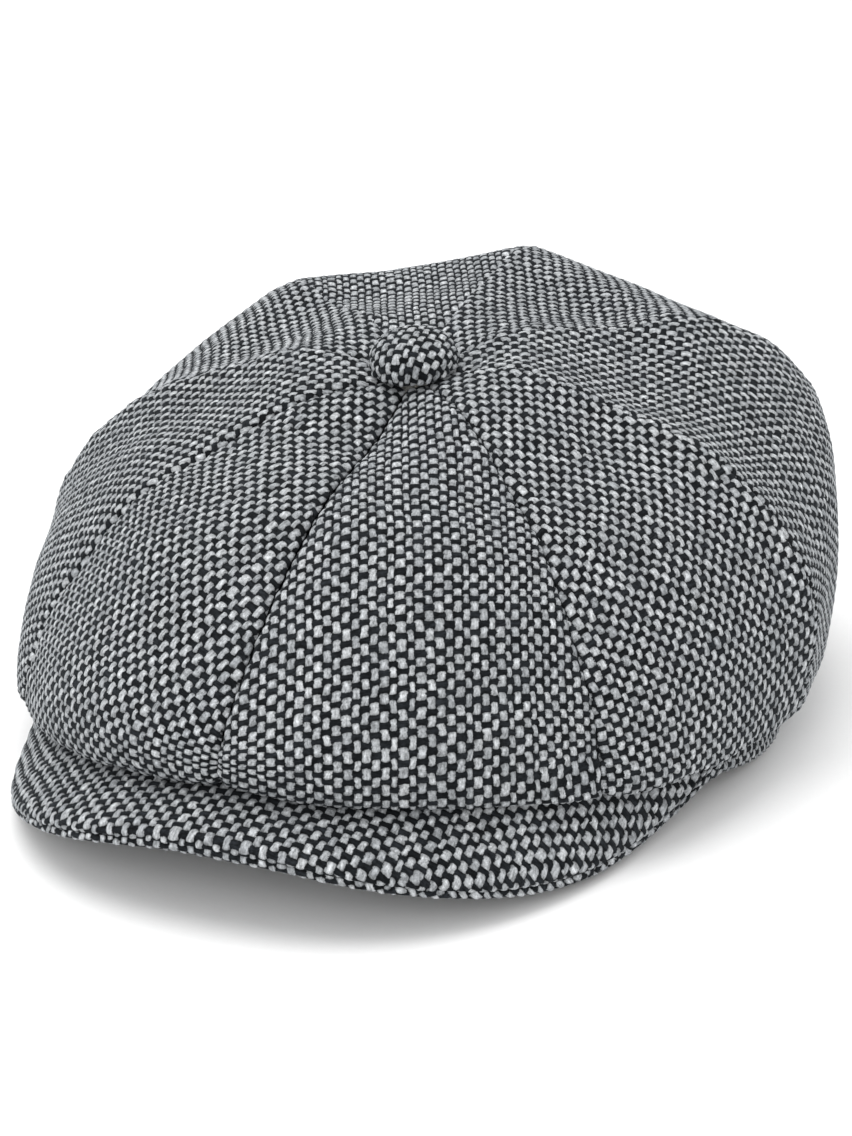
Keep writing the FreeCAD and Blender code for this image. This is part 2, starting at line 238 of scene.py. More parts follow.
def around(stations, angle):
    """Profile controls at polar angles, from five seam profiles mirrored left to right."""
    ring = np.concatenate([stations, stations[-2:0:-1]])
    place = (np.asarray(angle, float) % 360.0) / GORE_ANGLE
    index = np.floor(place).astype(int)
    part = (place - index)[:, None, None]
    near = [ring[(index + step) % GORES] for step in (-1, 0, 1, 2)]
    return blend_four(*near, part)[0]


def on_profile(controls, position):
    """(radius, height) points of profiles, and their outward normals."""
    first = 2 * controls[:, :1] - controls[:, 1:2]
    last = 2 * controls[:, -1:] - controls[:, -2:-1]
    padded = np.concatenate([first, controls, last], axis=1)
    index = np.clip(np.floor(position).astype(int), 0, controls.shape[1] - 2)
    part = (position - index)[:, None]
    rows = np.arange(len(position))
    near = [padded[rows, index + step] for step in range(4)]
    point, slope = blend_four(*near, part)
    length = np.maximum(np.linalg.norm(slope, axis=1, keepdims=True), 1e-9)
    normal = columns(-slope[:, 1], slope[:, 0]) / length
    return point, normal


def band_radius(angle):
    """Distance from the crown axis to the band's outer face at polar angles."""
    sine, cosine = np.sin(np.radians(angle)), np.cos(np.radians(angle))
    a = (sine / BAND_HALF_WIDTH) ** 2 + (cosine / BAND_HALF_LENGTH) ** 2
    b = 2 * cosine * OVAL_CENTRE_Y / BAND_HALF_LENGTH ** 2
    c = (OVAL_CENTRE_Y / BAND_HALF_LENGTH) ** 2 - 1
    return (-b + np.sqrt(b * b - 4 * a * c)) / (2 * a)


def band_angle(angle):
    """The band oval's own parameter angle at polar angles from the crown axis."""
    radius = band_radius(angle)
    x = radius * np.sin(np.radians(angle))
    y = -radius * np.cos(np.radians(angle))
    return np.degrees(np.arctan2(x / BAND_HALF_WIDTH, (OVAL_CENTRE_Y - y) / BAND_HALF_LENGTH))


def band_bottom(oval_angle):
    """Height of the band's lower edge, which rises over the root of the peak."""
    turn = np.abs((np.asarray(oval_angle, float) + 180.0) % 360.0 - 180.0)
    share = np.minimum(turn / RISE_HALF_ANGLE, 1.0)
    return FRONT_RISE * np.maximum(np.cos(np.radians(90.0 * share)), 0.0) ** RISE_POWER


def fullness(angle):
    """How far the gores stand out between their seams."""
    across = (angle % GORE_ANGLE) / GORE_ANGLE
    shape = 1 - np.abs(2 * across - 1) ** 2.2
    forward = np.cos(np.radians(angle))
    front = FULLNESS_SIDE + (FULLNESS_FRONT - FULLNESS_SIDE) * forward
    back = FULLNESS_SIDE - (FULLNESS_BACK - FULLNESS_SIDE) * forward
    return np.where(forward > 0, front, back) * shape


def smooth_step(value, low, high):
    part = np.clip((value - low) / (high - low), 0.0, 1.0)
    return part * part * (3 - 2 * part)


def ripples(a, b, seed, shortest, longest, count=9):
    """Smooth noise from -1 to 1 over the plane of a and b, made of waves of seeded directions."""
    random = np.random.default_rng(seed)
    total = np.zeros(np.shape(a))
    for _ in range(count):
        turn = random.uniform(0, 2 * math.pi)
        wave = 2 * math.pi / random.uniform(shortest, longest)
        phase = random.uniform(0, 2 * math.pi)
        total += np.sin(wave * (a * math.cos(turn) + b * math.sin(turn)) + phase)
    return total / math.sqrt(count * 2.0)


def along_profile(values, position):
    """Smooth curve through evenly numbered values."""
    controls = np.repeat(np.array([values], float).T[None], len(position), axis=0)
    return on_profile(np.concatenate([controls, controls], axis=2), position)[0][:, 0]


def polar(radius, height, angle):
    turn = np.radians(angle)
    return columns(radius * np.sin(turn), -radius * np.cos(turn), height)


def crown_surface(angle, position):
    """Outer face of the crown: position runs from 0 at the button to 7 on the band."""
    rise = band_bottom(band_angle(angle))
    join_height = rise + BAND_HEIGHT + CROWN_SEAM_GAP - CROWN_SEAM_DROP * rise / FRONT_RISE
    join = columns(band_radius(angle) + CROWN_SEAM_GAP, join_height)
    controls = np.concatenate([around(CROWN_SEAMS, angle), join[:, None]], axis=1)
    point, normal = on_profile(controls, position)
    stand_out = fullness(angle) * along_profile(FULLNESS_ALONG, position)
    stand_out = stand_out + crown_folds(angle, position, point[:, 0])
    point = point + normal * stand_out[:, None]
    return polar(point[:, 0], point[:, 1], angle)


def crown_folds(angle, position, radius):
    """Soft unevenness of the worn cloth, which fades out at the button and the band."""
    free = smooth_step(position, 0.6, 2.0) * (1 - smooth_step(position, 5.8, CROWN_END))
    plan = polar(radius, position * PROFILE_STEP, angle)
    broad = ripples(plan[:, 0], plan[:, 1] + 0.7 * plan[:, 2], 11, 60.0, 130.0)
    small = ripples(plan[:, 0] + plan[:, 2], plan[:, 1], 12, 18.0, 34.0)
    return free * (0.7 * broad + 0.22 * small)


def oval_inset(oval_angle, height, inset):
    """Band oval moved inwards by inset, at heights above the band's lower edge."""
    turn = np.radians(oval_angle)
    x = (BAND_HALF_WIDTH - inset) * np.sin(turn)
    y = OVAL_CENTRE_Y - (BAND_HALF_LENGTH - inset) * np.cos(turn)
    return columns(x, y, band_bottom(oval_angle) + height)


def peak_root(across):
    """Underside of the peak where it is sewn to the band: across runs from -1 to 1."""
    return oval_inset(across * ROOT_END, 0.0 * across, -PEAK_SEAM_GAP)


def peak_rim(across):
    """Underside of the peak at its rim."""
    turn = np.radians(across * RIM_END)
    side = np.sign(across) * np.abs(np.sin(turn)) ** PEAK_POWER
    end = np.maximum(np.abs(across) - END_SHARE, 0.0) / (1 - END_SHARE)
    x = PEAK_HALF_WIDTH * side + np.sign(across) * END_FLARE * end ** 2
    y = PEAK_CENTRE_Y - (PEAK_CENTRE_Y - PEAK_TIP_Y) * np.cos(turn) ** PEAK_POWER
    lift = END_LIFT * (np.maximum(y - LIFT_FROM_Y, 0.0) / LIFT_RUN) ** LIFT_POWER
    soft = np.exp(-((across - SOFT_CORNER_AT) / SOFT_CORNER_WIDTH) ** 2)
    lift = lift + SOFT_CORNER_LIFT * soft
    return columns(x, y, PEAK_TIP_Z - PEAK_DROOP * x * x + PEAK_SLOPE * (y - PEAK_TIP_Y) + lift)


def peak_surface(across, outward):
    """Underside of the peak: outward runs from 0 at the root to 1 at the rim."""
    root = peak_root(across)
    return root + (peak_rim(across) - root) * outward[:, None]


def third_corner(a, b, from_a, from_b, side):
    """Third corner of a flat triangle from its distances to a and b; side is 1 or -1."""
    base = b - a
    length = np.linalg.norm(base)
    along = (from_a ** 2 - from_b ** 2 + length ** 2) / (2 * length)
    off = math.sqrt(max(from_a ** 2 - along ** 2, 0.0))
    return a + (base * along + side * off * np.array([base[1], -base[0]])) / length


def unrolled(root, rim):
    """Flat pattern of the ruled sheet between two edges, triangle by triangle from its middle."""
    flat_root, flat_rim = np.zeros((len(root), 2)), np.zeros((len(root), 2))
    middle = len(root) // 2
    flat_root[middle] = (0.0, root[middle, 1])
    flat_rim[middle] = (0.0, root[middle, 1] - np.linalg.norm(rim[middle] - root[middle]))
    for step, side in ((1, -1.0), (-1, 1.0)):
        for distance in range(1, middle + 1):
            now, before = middle + step * distance, middle + step * (distance - 1)
            flat_root[now] = third_corner(
                flat_root[before], flat_rim[before], np.linalg.norm(root[now] - root[before]),
                np.linalg.norm(root[now] - rim[before]), side)
            flat_rim[now] = third_corner(
                flat_root[now], flat_rim[before], np.linalg.norm(rim[now] - root[now]),
                np.linalg.norm(rim[now] - rim[before]), side)
    return flat_root, flat_rim


PEAK_RAYS = np.linspace(-1, 1, 401)
PEAK_RAYS = np.sign(PEAK_RAYS) * np.abs(PEAK_RAYS) ** (1 / PEAK_POWER)
FLAT_ROOT, FLAT_RIM = unrolled(peak_root(PEAK_RAYS), peak_rim(PEAK_RAYS))


def peak_ray(across):
    """Flat pattern of one straight line of the peak from root to rim: its start and its run."""
    start = at_places(across, PEAK_RAYS, FLAT_ROOT)
    return start, at_places(across, PEAK_RAYS, FLAT_RIM) - start


def peak_pattern(across, outward):
    start, run = peak_ray(across)
    return start + run * outward[:, None]


def peak_place(flat):
    """Points of the peak's underside for points of its flat pattern, by halving."""
    low, high = np.full(len(flat), -1.0), np.full(len(flat), 1.0)
    for _ in range(24):
        middle = (low + high) / 2
        start, run = peak_ray(middle)
        side = turning(run, flat - start)
        low = np.where(side > 0, middle, low)
        high = np.where(side > 0, high, middle)
    across = (low + high) / 2
    start, run = peak_ray(across)
    length = np.maximum(np.linalg.norm(run, axis=1, keepdims=True), 1e-9)
    outward = ((flat - start) * run).sum(1) / length[:, 0] ** 2
    past = turning(run, flat - start) / length[:, 0]
    ray = (peak_rim(across) - peak_root(across)) / length
    beside = (peak_surface(np.minimum(across + 0.002, 1.0), outward)
              - peak_surface(np.maximum(across - 0.002, -1.0), outward))
    beside -= ray * (beside * ray).sum(1, keepdims=True)
    return peak_surface(across, outward) + unit(beside) * past[:, None]


# ==== meshes ====

def mesh_object(name, points, faces, material, weave=None):
    """Smooth-shaded mesh object from points in millimetres, with weave as its UV map."""
    mesh = bpy.data.meshes.new(name)
    mesh.from_pydata((np.asarray(points) * MM).tolist(), [], faces)
    mesh.validate()
    if weave is not None:
        layer = mesh.uv_layers.new(name="weave")
        corners = np.zeros(len(mesh.loops), int)
        mesh.loops.foreach_get("vertex_index", corners)
        layer.data.foreach_set("uv", np.asarray(weave, np.float32)[corners].ravel())
    mesh.polygons.foreach_set("use_smooth", [True] * len(mesh.polygons))
    mesh.materials.append(material)
    item = bpy.data.objects.new(name, mesh)
    bpy.context.scene.collection.objects.link(item)
    return item


def normals_of(points, triangles):
    """Vertex normals, weighted by triangle area."""
    a, b, c = (points[triangles[:, k]] for k in range(3))
    flat = np.cross(b - a, c - a)
    normals = np.zeros(points.shape)
    for k in range(3):
        np.add.at(normals, triangles[:, k], flat)
    return unit(normals)


def fill(inside, outline):
    """Triangles of a flat region: its inner points first, then its outline in order."""
    count = len(inside)
    edges = [(count + k, count + (k + 1) % len(outline)) for k in range(len(outline))]
    corners = [Vector(point) for point in np.concatenate([inside, outline])]
    found = delaunay_2d_cdt(corners, edges, [], 1, 1e-7)
    if len(found[0]) != len(corners):
        raise RuntimeError("the flat outline crosses itself")
    triangles = np.array([face for face in found[2] if len(face) == 3])
    order = np.array([source[0] for source in found[3]])
    triangles = order[triangles]
    flat = np.concatenate([inside, outline])
    a, b, c = (flat[triangles[:, k]] for k in range(3))
    turn = turning(b - a, c - a)
    triangles[turn < 0] = triangles[turn < 0][:, ::-1]
    return triangles[np.abs(turn) > 1e-9]


def yarn_places(seed, low, high):
    """Grid lines along one direction of a patch: yarn counts, and their uneven places in mm."""
    counts = np.arange(math.floor(low / YARN_PITCH) - 2, math.ceil(high / YARN_PITCH) + 3)
    uneven = np.random.default_rng(seed).normal(0, 0.085, len(counts)).clip(-0.18, 0.18)
    steps = np.arange(counts[0], counts[-1], 1.0 / GRID_PER_YARN)
    return steps, YARN_PITCH * (steps + np.interp(steps, counts, uneven))


def yarn_grid(outline, seed):
    """Points of the yarn grid inside a flat outline: places, yarn counts and which are coarse."""
    low, high = outline.min(0), outline.max(0)
    across, x = yarn_places(seed, low[0], high[0])
    along, y = yarn_places(seed + 1, low[1], high[1])
    count_u, count_v = crossed(across, along)
    flat_u, flat_v = crossed(x, y)
    flat_u = flat_u + 0.2 * ripples(count_u, count_v, seed + 2, 5.0, 22.0)
    flat_v = flat_v + 0.2 * ripples(count_u, count_v, seed + 3, 5.0, 22.0)
    flat = columns(flat_u, flat_v)
    clear = 0.45 * YARN_PITCH / GRID_PER_YARN
    keep = within(flat, outline)
    keep[keep] = distance_to(flat[keep], outline)[0] > clear
    counts = columns(count_u, count_v)[keep]
    coarse = np.all(np.abs(counts - np.round(counts)) < 1e-6, axis=1)
    return flat[keep], counts, coarse


def within(points, outline):
    """Which points lie inside a closed outline, by counting crossings."""
    inside = np.zeros(len(points), bool)
    ends = np.roll(outline, -1, axis=0)
    for start, end in zip(outline, ends):
        if start[1] == end[1]:
            continue
        spans = (start[1] > points[:, 1]) != (end[1] > points[:, 1])
        cross = start[0] + (points[:, 1] - start[1]) * (end[0] - start[0]) / (end[1] - start[1])
        inside ^= spans & (points[:, 0] < cross)
    return inside


def distance_to(points, chain):
    """Distance from points to a closed chain's vertices, and the nearest vertex of each."""
    away = np.zeros(len(points))
    nearest = np.zeros(len(points), int)
    for start in range(0, len(points), 4000):
        part = points[start:start + 4000]
        squares = ((part[:, None] - chain[None]) ** 2).sum(2)
        nearest[start:start + 4000] = squares.argmin(1)
        away[start:start + 4000] = np.sqrt(squares.min(1))
    return away, nearest


def float_height(along, reach, across, half_width, rise, crown, power):
    """Height of one float: it dips towards its ends and rounds off towards its sides."""
    return (abs(along) / reach) ** 3.0 * -rise + rise - (abs(across) / half_width) ** power * crown


def tweed_floats(u, v):
    """Heights in millimetres of the light and the dark float at yarn counts u and v, and the whole
    numbers that tell floats apart. u and v are arrays for the mesh and node values for the
    material, so that both follow the same floats."""
    column, row = u // 1.0, v // 1.0
    odd_column, odd_row = column % 2.0, (row + 1.0) % 2.0
    light = ((v - 0.5 - odd_column) / 2.0 + 0.5) // 1.0
    dark = ((u - 0.5 - odd_row) / 2.0 + 0.5) // 1.0
    from_light = v - (light * 2.0 + 0.5 + odd_column)
    from_dark = u - (dark * 2.0 + 0.5 + odd_row)

    a, b, c, d, scatter, turn = CHANCE_STEPS
    first, second = (column * a + light * b) % 1.0, (column * c + light * d) % 1.0
    chances = [(first * scatter + second * scatter + column * turn) % 1.0,
               (first * scatter + second) % 1.0, (second * scatter + first) % 1.0]
    slant, wide, long = ((chance - 0.5) * amount for chance, amount in zip(chances, LIGHT_UNEVEN))
    light_height = float_height(
        from_light, long * LIGHT_REACH + LIGHT_REACH, u - column - 0.5 - slant * from_light,
        wide * LIGHT_HALF_WIDTH + LIGHT_HALF_WIDTH, LIGHT_RISE, LIGHT_CROWN, LIGHT_POWER)
    dark_height = float_height(from_dark, DARK_REACH, v - row - 0.5, DARK_HALF_WIDTH, DARK_RISE,
                               DARK_CROWN, DARK_POWER)
    return light_height, dark_height, column, row, light, dark


def weave_relief(counts):
    """Height of the yarns in millimetres, from yarn counts."""
    light_height, dark_height = tweed_floats(counts[:, 0], counts[:, 1])[:2]
    return np.maximum(np.maximum(light_height, dark_height), RELIEF_FLOOR)


def tweed_patch(name, outline, place, material, seed, thickness=TWEED_THICKNESS, upright=False):
    """Closed patch of tweed. outline is its flat edge in millimetres; place(flat, on_edge) lays
    flat points on the patch's outer face, where on_edge gives each point's outline number or -1.
    An upright patch has its thickness measured straight up, so it thins on steep slopes."""
    flat, counts, coarse = yarn_grid(outline, seed)
    edge_counts = outline / YARN_PITCH
    shift = 2.0 * (seed % 97)
    every_flat = np.concatenate([flat, outline])
    every_count = np.concatenate([counts, edge_counts])
    on_edge = np.concatenate([np.full(len(flat), -1), np.arange(len(outline))])
    triangles = fill(flat, outline)
    base = place(every_flat, on_edge)
    normals = normals_of(base, triangles)
    every_count = every_count + shift
    relief = weave_relief(every_count)
    outer = base + normals * relief[:, None]

    thin = np.concatenate([np.flatnonzero(coarse), np.arange(len(flat), len(every_flat))])
    thin_triangles = fill(flat[coarse], outline)
    share = np.clip(np.abs(normals[thin, 2:]), 0.15, 1.0) if upright else 1.0
    inner = base[thin] - normals[thin] * thickness * share
    start = len(outer)
    faces = triangles.tolist() + (thin_triangles[:, ::-1] + start).tolist()
    edge_outer, edge_inner = len(flat), start + int(coarse.sum())
    for k in range(len(outline)):
        after = (k + 1) % len(outline)
        faces.append((edge_outer + after, edge_outer + k, edge_inner + k, edge_inner + after))
    weave = np.concatenate([every_count, every_count[thin]])
    item = mesh_object(name, np.concatenate([outer, inner]), faces, material, weave)
    item["flat_area"] = abs(float(turning(outline, np.roll(outline, -1, axis=0)).sum() / 2))
    item["flat_size"] = (outline.max(0) - outline.min(0)).tolist()
    return item


def cloth_panel(name, surface, p_values, q_values, thickness, material, upright=False):
    """Closed panel of plain cloth or board on a grid. surface(p, q) is its outer face. Its UV map
    is in millimetres along the panel's middle lines."""
    p, q = crossed(p_values, q_values, "ij")
    shape = (len(p_values), len(q_values))
    outer = surface(p, q)
    index = np.arange(len(outer)).reshape(shape)
    after, first = index[1:], index[:-1]
    quads = np.stack([first[:, :-1], after[:, :-1], after[:, 1:], first[:, 1:]], axis=-1).reshape(-1, 4)
    triangles = np.concatenate([quads[:, :3], quads[:, [0, 2, 3]]])
    normals = normals_of(outer, triangles)
    total = len(outer)
    share = np.clip(np.abs(normals[:, 2:]), 0.15, 1.0) if upright else 1.0
    inner = outer - normals * thickness * share
    faces = quads.tolist() + (quads[:, ::-1] + total).tolist()
    sides = [(index[:, 0], True), (index[:, -1], False), (index[0], False), (index[-1], True)]
    for chain, forward in sides:
        for a, b in zip(chain[:-1], chain[1:]):
            quad = (int(a), int(a) + total, int(b) + total, int(b))
            faces.append(quad if forward else quad[::-1])
    grid = outer.reshape(*shape, 3)
    run_p, run_q = run_along(grid[:, shape[1] // 2]), run_along(grid[shape[0] // 2])
    flat = columns(*crossed(run_p, run_q, "ij"))
    item = mesh_object(name, np.concatenate([outer, inner]), faces, material, np.concatenate([flat, flat]))
    size = (grid[1:, 1:] - grid[:-1, :-1], grid[1:, :-1] - grid[:-1, 1:])
    item["flat_area"] = float(np.linalg.norm(np.cross(size[0], size[1]), axis=2).sum() / 2)
    item["flat_size"] = [float(run_p[-1]), float(run_q[-1])]
    return item


def stitches(name, line, outward, material, length=2.6, gap=0.9, radius=0.22):
    """Row of sewn stitches along a line of points, bedded in the cloth that faces outward."""
    run = run_along(line)
    rings, sides = 7, 6
    arch = np.sin(np.linspace(0, math.pi, rings))[:, None]
    turns = 2 * math.pi * np.arange(sides)[None, :, None] / sides
    points, faces = [], []
    for start in np.arange(gap, run[-1] - length, length + gap):
        along = np.linspace(start, start + length, rings)
        middle, facing = at_places(along, run, line), at_places(along, run, outward)
        side = np.cross(unit(np.gradient(middle, axis=0)), facing)
        centre = middle + facing * radius * (1.6 * arch - 0.9)
        spokes = np.cos(turns) * side[:, None] + np.sin(turns) * facing[:, None]
        base, last = rings * sides * len(points), (rings - 1) * sides
        points.append((centre[:, None] + radius * (0.45 + 0.55 * arch[:, None]) * spokes).reshape(-1, 3))
        for a in range(base, base + last):
            b = a + 1 if (a + 1 - base) % sides else a + 1 - sides
            faces.append((a, b, b + sides, a + sides))
        faces.append(tuple(range(base, base + sides))[::-1])
        faces.append(tuple(range(base + last, base + last + sides)))
    return mesh_object(name, np.concatenate(points), faces, material)


# ==== materials ====

class Value:
    """A node's output, which can be used in sums like an array."""

    def __init__(self, shading, socket):
        self.math = shading.math
        self.socket = socket

    def __floordiv__(self, other):
        return self.math("FLOOR", self / other)

    def __abs__(self):
        return self.math("ABSOLUTE", self)


for sign, operation in (("add", "ADD"), ("sub", "SUBTRACT"), ("mul", "MULTIPLY"), ("truediv", "DIVIDE"),
                        ("mod", "FLOORED_MODULO"), ("pow", "POWER")):
    setattr(Value, f"__{sign}__", lambda a, b, operation=operation: a.math(operation, a, b))


class Shading:
    """A material and short calls that add its nodes. Inputs may be numbers or node values."""

    def __init__(self, name, **settings):
        self.material = bpy.data.materials.new(name)
        self.material.use_nodes = True
        self.tree = self.material.node_tree
        self.shader = self.tree.nodes["Principled BSDF"]
        for socket, value in settings.items():
            self.shader.inputs[socket.replace("_", " ")].default_value = value

    def put(self, node, socket, value):
        if isinstance(value, Value):
            self.tree.links.new(value.socket, node.inputs[socket])
        else:
            node.inputs[socket].default_value = value

    def node(self, kind, inputs, output=0, **settings):
        item = self.tree.nodes.new(kind)
        for key, value in settings.items():
            setattr(item, key, value)
        for socket, value in inputs.items():
            self.put(item, socket, value)
        return Value(self, item.outputs[output])

    def math(self, operation, a, b=0.0):
        return self.node("ShaderNodeMath", {0: a, 1: b}, operation=operation)

    def weave(self):
        """The two parts of the weave map."""
        point = self.node("ShaderNodeUVMap", {}, uv_map="weave")
        return [self.node("ShaderNodeSeparateXYZ", {0: point}, output) for output in (0, 1)]

    def pair(self, x, y, z=0.0):
        return self.node("ShaderNodeCombineXYZ", {0: x, 1: y, 2: z})

    def chance(self, x, y):
        """One random number from 0 to 1 for each whole x and y."""
        return self.node("ShaderNodeTexWhiteNoise", {"Vector": self.pair(x, y)}, noise_dimensions="2D")

    def noise(self, point, scale, detail=2.0, roughness=0.5):
        inputs = {"Vector": point, "Scale": scale, "Detail": detail, "Roughness": roughness}
        return self.node("ShaderNodeTexNoise", inputs)

    def place(self):
        """Points of the object in metres."""
        return self.node("ShaderNodeTexCoord", {}, 3)

    def between(self, value, low, high, out_low=0.0, out_high=1.0, kind="SMOOTHSTEP"):
        inputs = {0: value, 1: low, 2: high, 3: out_low, 4: out_high}
        return self.node("ShaderNodeMapRange", inputs, interpolation_type=kind)

    def mix(self, share, a, b):
        return self.node("ShaderNodeMix", {0: share, 6: a, 7: b}, 2, data_type="RGBA")

    def tint(self, colour, amount):
        """A colour multiplied by a number."""
        return self.node("ShaderNodeVectorMath", {0: colour, "Scale": amount}, operation="SCALE")

    def finish(self, colour, height, depth, roughness):
        """Joins colour, a height with its depth in metres, and roughness to the shader."""
        bump = self.node("ShaderNodeBump", {"Height": height, "Distance": depth, "Strength": 1.0})
        self.put(self.shader, "Base Color", colour)
        self.put(self.shader, "Normal", bump)
        self.put(self.shader, "Roughness", roughness)
        return self.material


def tweed():
    """Salt-and-pepper tweed in plain weave: light warp floats over thin near-black weft."""
    g = Shading("wool_tweed", Sheen_Weight=0.045, Sheen_Roughness=0.4, Sheen_Tint=(0.80, 0.90, 1.0, 1),
                Specular_IOR_Level=0.1)
    u, v = g.weave()
    light_height, dark_height, column, row, light, dark = tweed_floats(u, v)
    ragged = g.noise(g.pair(u, v), 2.9, 5.0, 0.74) * 1.1 - 0.55
    is_light = g.between(light_height - dark_height + ragged, -0.07, 0.11)
    height = g.math("MAXIMUM", light_height, dark_height)

    light_fibres = g.noise(g.pair(u * 2.2, v * 0.8), 1.5, 5.0, 0.75)
    dark_fibres = g.noise(g.pair(u * 0.8, v * 2.2, 4.0), 1.5, 5.0, 0.75)
    mottle = g.noise(g.pair(u, v, 9.0), 2.1, 3.0, 0.65)
    each_light = g.chance(column + 0.3, light + 0.3)
    each_dark = g.chance(dark + 0.3, row + 0.3)
    each_warp = g.chance(column, 7.3)
    share = each_warp * 0.3 + each_light * 0.7
    wool = g.mix(share, (0.262, 0.276, 0.289, 1), (0.462, 0.477, 0.490, 1))
    wool = g.tint(wool, g.between(light_fibres, 0.36, 0.64, 0.45, 1.36, "LINEAR"))
    wool = g.tint(wool, g.between(mottle, 0.36, 0.64, 0.72, 1.2, "LINEAR"))
    black = g.mix(each_dark, (0.0035, 0.0042, 0.005, 1), (0.010, 0.0115, 0.0135, 1))
    black = g.tint(black, g.between(dark_fibres, 0.36, 0.64, 0.3, 2.8, "LINEAR"))
    # painted shade: the colour is darkened in the low valleys between the yarns, and painted light
    # brightens the floats' raised crests a little, by relief height
    colour = g.tint(g.mix(is_light, black, wool), g.between(height, -0.25, 0.26, 0.28, 1.12, "LINEAR"))

    fibres = light_fibres + g.noise(g.pair(u, v), 9.0, 4.0, 0.7)
    roughness = g.between(light_fibres, 0.3, 0.7, 0.98, 0.86, "LINEAR")
    return g.finish(colour, fibres, 0.00016, roughness)


def ribbed_cloth(name, colour, ribs_per_mm, slope, depth, roughness, **settings):
    """Fine cloth with slanting ribs: satin and twill."""
    g = Shading(name, **settings)
    u, v = g.weave()
    turns_per_mm = 2 * math.pi * ribs_per_mm
    wander = g.noise(g.pair(u, v), 0.4, 3.0)
    rib = g.math("SINE", (v * slope + u) * turns_per_mm + wander * 3.0) * 0.5 + 0.5
    height = g.math("SINE", v * (turns_per_mm * 1.7)) * 0.16 + rib
    wear = g.noise(g.pair(u, v), 0.09, 4.0, 0.6)
    # painted shade: darker in the grooves between the ribs and lighter on their crests, times a random
    # blotchy tone of wear
    rib_shade_and_wear = g.between(rib, 0.0, 1.0, 0.62, 1.15) * g.between(wear, 0.3, 0.7, 0.85, 1.2)
    paler = tuple(min(1.0, part * 1.25) for part in colour[:3]) + (1,)
    tone = g.tint(g.mix(g.chance(u * 3.0 // 1.0, 2.0), colour, paler), rib_shade_and_wear)
    return g.finish(tone, height, depth, g.between(rib, 0, 1, roughness + 0.12, roughness))


def speckled(name, colour, fleck, scale, depth, roughness, **settings):
    """Pressed fibres, thread and metal: flecks over a base colour."""
    g = Shading(name, **settings)
    place = g.place()
    fine = g.noise(place, scale, 5.0, 0.7)
    broad = g.noise(place, scale * 0.12, 3.0, 0.6)
    share = g.between(fine, 0.42, 0.66)
    tone = g.tint(g.mix(share, colour, fleck), g.between(broad, 0.3, 0.7, 0.85, 1.12))
    gloss = g.between(fine, 0.35, 0.65, roughness - 0.08, roughness + 0.08)
    return g.finish(tone, broad * 0.5 + fine, depth, gloss)


def backdrop():
    g = Shading("seamless_paper", Specular_IOR_Level=0.1)
    grain = g.noise(g.place(), 700.0, 3.0)
    colour = g.mix(grain, (0.90, 0.90, 0.90, 1), (0.93, 0.93, 0.93, 1))
    return g.finish(colour, grain, 0.00003, 0.95)


# ==== the cap's pieces ====

def declare(piece, node, body, held, bends=False):
    """The piece stands for its CAD node, which is hidden; with bends, its placing is baked into its mesh,
    else it follows its body.
    """
    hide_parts(node)
    if bends:
        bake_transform(piece)
    else:
        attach(piece, body)
    if held:
        width, length = (size * MM for size in piece["flat_size"])
        area = min(piece["flat_area"] * MM * MM, width * length)
    return piece


def spaced(chain, step):
    """A chain of points at even spacing."""
    run = run_along(chain)
    even = np.linspace(0, run[-1], max(2, int(round(run[-1] / step)) + 1))
    return at_places(even, run, chain)


def surface_normals(surface, p, q, p_step, q_step):
    """Unit normals of surface(p, q), with its own handedness."""
    p_run = surface(p + p_step, q) - surface(p - p_step, q)
    q_run = surface(p, q + q_step) - surface(p, q - q_step)
    return unit(np.cross(p_run, q_run))


